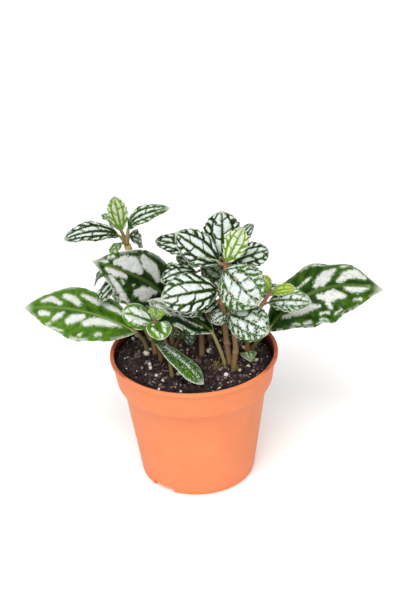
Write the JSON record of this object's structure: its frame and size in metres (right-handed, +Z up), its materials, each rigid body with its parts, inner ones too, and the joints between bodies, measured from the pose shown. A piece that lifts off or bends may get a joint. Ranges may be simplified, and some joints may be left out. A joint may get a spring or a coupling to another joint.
{
  "type": "potted aluminum plant",
  "caption": "House plant with silver-patched and silver-netted leaves on upright stems, growing from dark soil in a round tapered nursery pot with a collar and foot notches.",
  "frame": {"origin": "middle of the pot's underside, on the surface it stands on", "axes": "+Z up along the pot's axis; -Y towards the front, where the lowest leaves hang; +X to the right"},
  "size_m": [0.2552, 0.1783, 0.2141],
  "materials": {
    "pot_plastic": "satin",
    "potting_soil": "rough",
    "net_leaf": "satin",
    "patch_leaf": "satin"
  },
  "bodies": {
    "root": {"pot": "pot_plastic", "soil": "potting_soil", "leafy_stem_left": "net_leaf", "leafy_stem_front": "net_leaf", "leafy_stem_foot": "net_leaf", "leafy_stem_sprig": "net_leaf", "leafy_stem_centre": "net_leaf", "leafy_stem_tall": "net_leaf", "leafy_stem_low": "net_leaf", "leafy_stem_right": "net_leaf", "leafy_stem_back_left": "net_leaf", "leafy_stem_back": "net_leaf", "leafy_stem_back_right": "net_leaf", "large_leaf_left": "patch_leaf", "large_leaf_mid_left": "patch_leaf", "large_leaf_centre": "patch_leaf", "large_leaf_right": "patch_leaf", "large_leaf_back_left": "patch_leaf", "large_leaf_back_right": "patch_leaf"}
  },
  "joints": []
}
